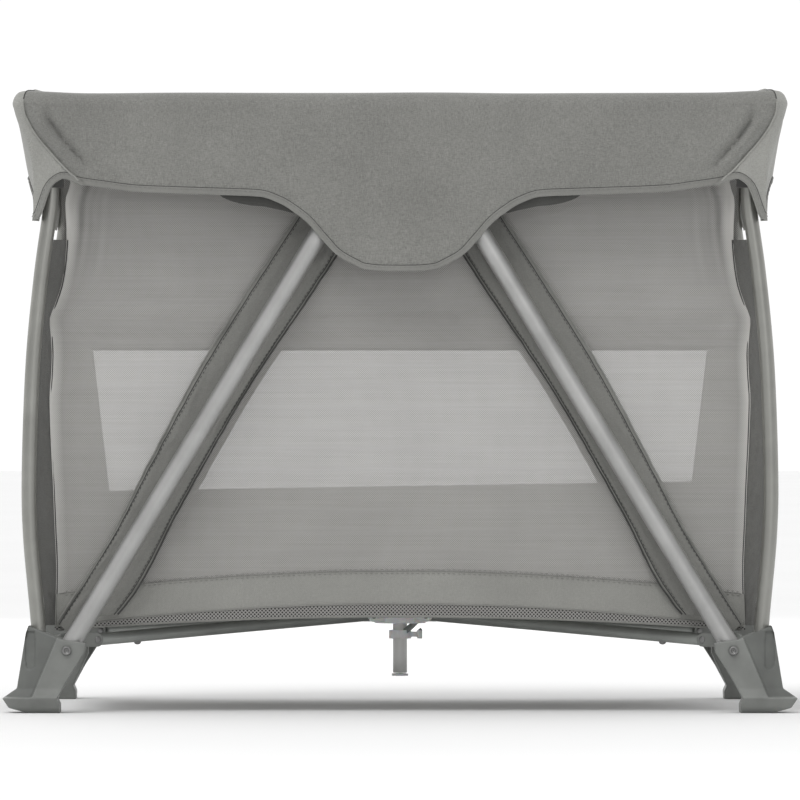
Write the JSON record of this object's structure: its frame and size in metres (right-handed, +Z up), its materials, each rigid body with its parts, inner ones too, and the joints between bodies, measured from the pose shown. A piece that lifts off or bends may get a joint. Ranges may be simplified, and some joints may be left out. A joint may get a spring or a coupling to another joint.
{
  "type": "travel play yard",
  "caption": "Rectangular folding play yard with a tube frame, crossed front legs, fabric-covered rails and a mesh tub with a raised bassinet.",
  "frame": {"origin": "middle of the footprint on the floor", "axes": "+X along the length, +Y from the front long side to the back one, +Z up"},
  "size_m": [0.904, 0.654, 0.707],
  "materials": {
    "foot_plastic": "satin moulded grey-green nylon",
    "rivet_steel": "domed rivet, bright",
    "post_steel": "grey powder coat",
    "rail_steel": "zinc plated",
    "dark_plastic": "moulded",
    "aluminium": "satin anodised",
    "clear_plastic": "milky translucent",
    "cover_fabric": "heather grey woven",
    "mesh_fabric": "spacer mesh",
    "lining_fabric": "woven lining",
    "mat_fabric": "quilted cover"
  },
  "bodies": {
    "corner_front_left": {"foot_front_left": "foot_plastic", "foot_rivet_front_left": "rivet_steel", "post_front_left": "post_steel", "corner_bracket_front_left": "dark_plastic", "long_cover_front": "cover_fabric", "mesh_wall_front": "mesh_fabric", "end_cover_left": "cover_fabric", "mesh_wall_left": "mesh_fabric"},
    "base_tube_front_left": {"base_tube_front_left": "post_steel"},
    "diagonal_front_left": {"diagonal_front_left": "aluminium"},
    "outer_rail_front_left": {"outer_rail_front_left": "rail_steel"},
    "inner_rail_front_left": {"inner_rail_front_left": "rail_steel"},
    "end_rail_front_left": {"end_rail_front_left": "rail_steel"},
    "corner_front_right": {"foot_front_right": "foot_plastic", "foot_rivet_front_right": "rivet_steel", "post_front_right": "post_steel", "corner_bracket_front_right": "dark_plastic", "end_cover_right": "cover_fabric", "mesh_wall_right": "mesh_fabric"},
    "base_tube_front_right": {"base_tube_front_right": "post_steel"},
    "diagonal_front_right": {"diagonal_front_right": "aluminium"},
    "outer_rail_front_right": {"outer_rail_front_right": "rail_steel"},
    "inner_rail_front_right": {"inner_rail_front_right": "rail_steel"},
    "end_rail_front_right": {"end_rail_front_right": "rail_steel"},
    "corner_back_left": {"foot_back_left": "foot_plastic", "foot_rivet_back_left": "rivet_steel", "post_back_left": "post_steel", "corner_bracket_back_left": "dark_plastic", "long_cover_back": "cover_fabric", "mesh_wall_back": "mesh_fabric"},
    "base_tube_back_left": {"base_tube_back_left": "post_steel"},
    "diagonal_back_left": {"diagonal_back_left": "aluminium"},
    "outer_rail_back_left": {"outer_rail_back_left": "rail_steel"},
    "inner_rail_back_left": {"inner_rail_back_left": "rail_steel"},
    "end_rail_back_left": {"end_rail_back_left": "rail_steel"},
    "corner_back_right": {"foot_back_right": "foot_plastic", "foot_rivet_back_right": "rivet_steel", "post_back_right": "post_steel", "corner_bracket_back_right": "dark_plastic"},
    "base_tube_back_right": {"base_tube_back_right": "post_steel"},
    "diagonal_back_right": {"diagonal_back_right": "aluminium"},
    "outer_rail_back_right": {"outer_rail_back_right": "rail_steel"},
    "inner_rail_back_right": {"inner_rail_back_right": "rail_steel"},
    "end_rail_back_right": {"end_rail_back_right": "rail_steel"},
    "base_hub": {"base_hub": "clear_plastic", "base_hub_cap": "clear_plastic", "centre_leg": "post_steel", "centre_leg_cap": "clear_plastic", "tub_floor": "lining_fabric", "bassinet": "lining_fabric"},
    "release_collar": {"release_collar": "clear_plastic"},
    "mattress": {"mattress": "mat_fabric"},
    "top_hub_front": {"top_hub_front": "dark_plastic"},
    "hub_button_front": {"hub_button_front": "clear_plastic"},
    "top_hub_back": {"top_hub_back": "dark_plastic"},
    "hub_button_back": {"hub_button_back": "clear_plastic"}
  },
  "joints": [
    {"name": "fold", "type": "hinge", "parent": "corner_front_left", "child": "base_tube_front_left", "pos_m": [-0.351, -0.256, 0.082], "axis": [0.5893, -0.8079, 0], "range_deg": [0, 75], "deforming": ["long_cover_front", "mesh_wall_front", "long_cover_back", "mesh_wall_back", "end_cover_left", "mesh_wall_left", "end_cover_right", "mesh_wall_right", "tub_floor", "bassinet", "mattress"]},
    {"name": "base_hub_level", "type": "hinge", "parent": "base_tube_front_left", "child": "base_hub", "pos_m": [-0.03636, -0.02652, 0.106], "axis": [-0.5893, 0.8079, 0], "range_deg": [0, 75.01]},
    {"name": "diagonal_turn_front_left", "type": "hinge", "parent": "corner_front_left", "child": "diagonal_front_left", "pos_m": [-0.379, -0.306, 0.071], "axis": [0, -1, 0], "range_deg": [0, 23.21]},
    {"name": "outer_rail_turn_front_left", "type": "hinge", "parent": "corner_front_left", "child": "outer_rail_front_left", "pos_m": [-0.385, -0.2815, 0.683], "axis": [0, 1, 0], "range_deg": [0, 68.63]},
    {"name": "inner_rail_turn_front_left", "type": "hinge", "parent": "outer_rail_front_left", "child": "inner_rail_front_left", "pos_m": [-0.25, -0.2815, 0.693], "axis": [0, -1, 0], "range_deg": [0, 150.71]},
    {"name": "end_rail_turn_front_left", "type": "hinge", "parent": "corner_front_left", "child": "end_rail_front_left", "pos_m": [-0.425, -0.245, 0.683], "axis": [-1, 0, 0], "range_deg": [0, 77.88]},
    {"name": "base_tube_turn_front_right", "type": "hinge", "parent": "base_hub", "child": "base_tube_front_right", "pos_m": [0.03636, -0.02652, 0.106], "axis": [0.5893, 0.8079, 0], "range_deg": [0, 75.01]},
    {"name": "corner_level_front_right", "type": "hinge", "parent": "base_tube_front_right", "child": "corner_front_right", "pos_m": [0.351, -0.256, 0.082], "axis": [-0.5893, -0.8079, 0], "range_deg": [0, 75.01]},
    {"name": "diagonal_turn_front_right", "type": "hinge", "parent": "corner_front_right", "child": "diagonal_front_right", "pos_m": [0.379, -0.306, 0.071], "axis": [0, 1, 0], "range_deg": [0, 23.21]},
    {"name": "outer_rail_turn_front_right", "type": "hinge", "parent": "corner_front_right", "child": "outer_rail_front_right", "pos_m": [0.385, -0.2815, 0.683], "axis": [0, -1, 0], "range_deg": [0, 68.63]},
    {"name": "inner_rail_turn_front_right", "type": "hinge", "parent": "outer_rail_front_right", "child": "inner_rail_front_right", "pos_m": [0.25, -0.2815, 0.693], "axis": [0, 1, 0], "range_deg": [0, 150.71]},
    {"name": "end_rail_turn_front_right", "type": "hinge", "parent": "corner_front_right", "child": "end_rail_front_right", "pos_m": [0.425, -0.245, 0.683], "axis": [-1, 0, 0], "range_deg": [0, 77.88]},
    {"name": "base_tube_turn_back_left", "type": "hinge", "parent": "base_hub", "child": "base_tube_back_left", "pos_m": [-0.03636, 0.02652, 0.106], "axis": [-0.5893, -0.8079, 0], "range_deg": [0, 75.01]},
    {"name": "corner_level_back_left", "type": "hinge", "parent": "base_tube_back_left", "child": "corner_back_left", "pos_m": [-0.351, 0.256, 0.082], "axis": [0.5893, 0.8079, 0], "range_deg": [0, 75.01]},
    {"name": "diagonal_turn_back_left", "type": "hinge", "parent": "corner_back_left", "child": "diagonal_back_left", "pos_m": [-0.379, 0.306, 0.071], "axis": [0, -1, 0], "range_deg": [0, 23.21]},
    {"name": "outer_rail_turn_back_left", "type": "hinge", "parent": "corner_back_left", "child": "outer_rail_back_left", "pos_m": [-0.385, 0.2815, 0.683], "axis": [0, 1, 0], "range_deg": [0, 68.63]},
    {"name": "inner_rail_turn_back_left", "type": "hinge", "parent": "outer_rail_back_left", "child": "inner_rail_back_left", "pos_m": [-0.25, 0.2815, 0.693], "axis": [0, -1, 0], "range_deg": [0, 150.71]},
    {"name": "end_rail_turn_back_left", "type": "hinge", "parent": "corner_back_left", "child": "end_rail_back_left", "pos_m": [-0.425, 0.245, 0.683], "axis": [1, 0, 0], "range_deg": [0, 77.88]},
    {"name": "base_tube_turn_back_right", "type": "hinge", "parent": "base_hub", "child": "base_tube_back_right", "pos_m": [0.03636, 0.02652, 0.106], "axis": [-0.5893, 0.8079, 0], "range_deg": [0, 75.01]},
    {"name": "corner_level_back_right", "type": "hinge", "parent": "base_tube_back_right", "child": "corner_back_right", "pos_m": [0.351, 0.256, 0.082], "axis": [0.5893, -0.8079, 0], "range_deg": [0, 75.01]},
    {"name": "diagonal_turn_back_right", "type": "hinge", "parent": "corner_back_right", "child": "diagonal_back_right", "pos_m": [0.379, 0.306, 0.071], "axis": [0, 1, 0], "range_deg": [0, 23.21]},
    {"name": "outer_rail_turn_back_right", "type": "hinge", "parent": "corner_back_right", "child": "outer_rail_back_right", "pos_m": [0.385, 0.2815, 0.683], "axis": [0, -1, 0], "range_deg": [0, 68.63]},
    {"name": "inner_rail_turn_back_right", "type": "hinge", "parent": "outer_rail_back_right", "child": "inner_rail_back_right", "pos_m": [0.25, 0.2815, 0.693], "axis": [0, 1, 0], "range_deg": [0, 150.71]},
    {"name": "end_rail_turn_back_right", "type": "hinge", "parent": "corner_back_right", "child": "end_rail_back_right", "pos_m": [0.425, 0.245, 0.683], "axis": [1, 0, 0], "range_deg": [0, 77.88]},
    {"name": "top_hub_level_front", "type": "hinge", "parent": "inner_rail_front_left", "child": "top_hub_front", "pos_m": [-0.035, -0.2815, 0.683], "axis": [0, 1, 0], "range_deg": [0, 82.09]},
    {"name": "hub_button_press_front", "type": "slide", "parent": "top_hub_front", "child": "hub_button_front", "axis": [0, 1, 0], "range_m": [0, 0.005], "stiffness_N_per_m": 300},
    {"name": "top_hub_level_back", "type": "hinge", "parent": "inner_rail_back_left", "child": "top_hub_back", "pos_m": [-0.035, 0.2815, 0.683], "axis": [0, 1, 0], "range_deg": [0, 82.09]},
    {"name": "hub_button_press_back", "type": "slide", "parent": "top_hub_back", "child": "hub_button_back", "axis": [0, -1, 0], "range_m": [0, 0.005], "stiffness_N_per_m": 300},
    {"name": "release_collar_lift", "type": "slide", "parent": "base_hub", "child": "release_collar", "axis": [0, 0, 1], "range_m": [0, 0.006]},
    {"name": "mattress_lift", "type": "slide", "parent": "base_hub", "child": "mattress", "axis": [0, 0, 1], "range_m": [0, 0.32]}
  ],
  "couplings": [
    {"joint": "base_hub_level", "follows": "fold", "ratio": 1},
    {"joint": "diagonal_turn_front_left", "follows": "fold", "ratio": 0.30929},
    {"joint": "outer_rail_turn_front_left", "follows": "fold", "ratio": 0.91499},
    {"joint": "inner_rail_turn_front_left", "follows": "fold", "ratio": 2.0093},
    {"joint": "end_rail_turn_front_left", "follows": "fold", "ratio": 1.0383},
    {"joint": "base_tube_turn_front_right", "follows": "fold", "ratio": 1},
    {"joint": "corner_level_front_right", "follows": "fold", "ratio": 1},
    {"joint": "diagonal_turn_front_right", "follows": "fold", "ratio": 0.30929},
    {"joint": "outer_rail_turn_front_right", "follows": "fold", "ratio": 0.91499},
    {"joint": "inner_rail_turn_front_right", "follows": "fold", "ratio": 2.0093},
    {"joint": "end_rail_turn_front_right", "follows": "fold", "ratio": 1.0383},
    {"joint": "base_tube_turn_back_left", "follows": "fold", "ratio": 1},
    {"joint": "corner_level_back_left", "follows": "fold", "ratio": 1},
    {"joint": "diagonal_turn_back_left", "follows": "fold", "ratio": 0.30929},
    {"joint": "outer_rail_turn_back_left", "follows": "fold", "ratio": 0.91499},
    {"joint": "inner_rail_turn_back_left", "follows": "fold", "ratio": 2.0093},
    {"joint": "end_rail_turn_back_left", "follows": "fold", "ratio": 1.0383},
    {"joint": "base_tube_turn_back_right", "follows": "fold", "ratio": 1},
    {"joint": "corner_level_back_right", "follows": "fold", "ratio": 1},
    {"joint": "diagonal_turn_back_right", "follows": "fold", "ratio": 0.30929},
    {"joint": "outer_rail_turn_back_right", "follows": "fold", "ratio": 0.91499},
    {"joint": "inner_rail_turn_back_right", "follows": "fold", "ratio": 2.0093},
    {"joint": "end_rail_turn_back_right", "follows": "fold", "ratio": 1.0383},
    {"joint": "top_hub_level_front", "follows": "fold", "ratio": 1.0943},
    {"joint": "top_hub_level_back", "follows": "fold", "ratio": 1.0943}
  ]
}
